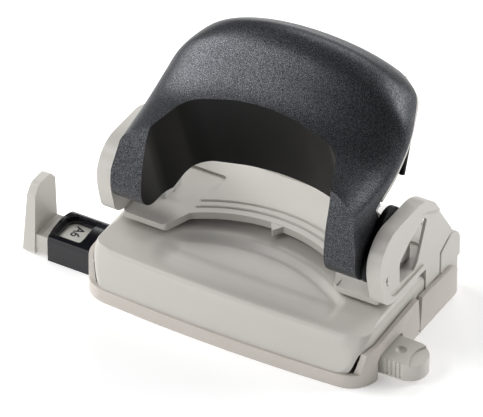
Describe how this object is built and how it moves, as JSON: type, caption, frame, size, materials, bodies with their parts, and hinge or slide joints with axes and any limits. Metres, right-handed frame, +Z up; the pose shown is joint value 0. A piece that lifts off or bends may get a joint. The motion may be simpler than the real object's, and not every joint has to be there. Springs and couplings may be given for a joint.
{
  "type": "two-hole desk punch",
  "caption": "Compact desk hole punch with a domed sprung handle, arched thumb cut-out, sliding paper guide with stop, and an opening chip flap.",
  "frame": {"origin": "on the table, midway between the centres of the two punched holes", "axes": "+X along the paper guide towards its free end, +Y to the back, +Z up"},
  "size_m": [0.1435, 0.067, 0.088],
  "materials": {
    "light_plastic": "satin",
    "pan_plastic": "satin",
    "black_metallic": "fine metallic grain",
    "black_plastic": "satin",
    "gloss_black": "gloss",
    "strip": "printed strip",
    "steel": "plated",
    "rubber": "matt"
  },
  "bodies": {
    "root": {"base_shell": "light_plastic", "bottom_pan": "pan_plastic", "front_feet": "rubber", "die_left": "steel", "die_right": "steel", "frame_plate": "light_plastic", "ear_left": "light_plastic", "ear_right": "light_plastic", "axle_left": "steel", "axle_right": "steel", "pin_guide_left": "steel", "pin_guide_right": "steel", "guide_rivets": "steel", "guide_screws": "steel", "guide_sleeve": "gloss_black", "return_spring_left": "steel", "return_spring_right": "steel"},
    "handle": {"handle_shell": "black_metallic", "handle_liner": "light_plastic", "cheek_left": "black_plastic", "cheek_right": "black_plastic", "stop_pegs": "black_plastic", "lever_left": "steel", "lever_right": "steel"},
    "punch_left": {"punch_pin_left": "steel", "drive_pin_left": "steel", "spring_cap_left": "steel"},
    "punch_right": {"punch_pin_right": "steel", "drive_pin_right": "steel", "spring_cap_right": "steel"},
    "paper_guide": {"guide_bar": "light_plastic", "format_strip": "strip"},
    "chip_door": {"chip_flap": "pan_plastic", "rear_feet": "rubber"}
  },
  "joints": [
    {"name": "handle_press", "type": "hinge", "parent": "root", "child": "handle", "pos_m": [0, -0.017, 0.038], "axis": [-1, 0, 0], "range_deg": [0, 25], "stiffness_Nm_per_rad": 2, "springref_deg": -17.19},
    {"name": "punch_left_stroke", "type": "slide", "parent": "root", "child": "punch_left", "axis": [0, 0, -1], "range_m": [0, 0.0075], "deforming": ["return_spring_left"]},
    {"name": "punch_right_stroke", "type": "slide", "parent": "root", "child": "punch_right", "axis": [0, 0, -1], "range_m": [0, 0.0075], "deforming": ["return_spring_right"]},
    {"name": "guide_slide", "type": "slide", "parent": "root", "child": "paper_guide", "axis": [-1, 0, 0], "range_m": [-0.0045, 0.0745]},
    {"name": "flap_open", "type": "hinge", "parent": "root", "child": "chip_door", "pos_m": [0, 0.0012, 0.0008], "axis": [-1, 0, 0], "range_deg": [0, 60]}
  ],
  "couplings": [
    {"joint": "punch_left_stroke", "follows": "handle_press", "m_per_rad": 0.017188},
    {"joint": "punch_right_stroke", "follows": "handle_press", "m_per_rad": 0.017188}
  ]
}
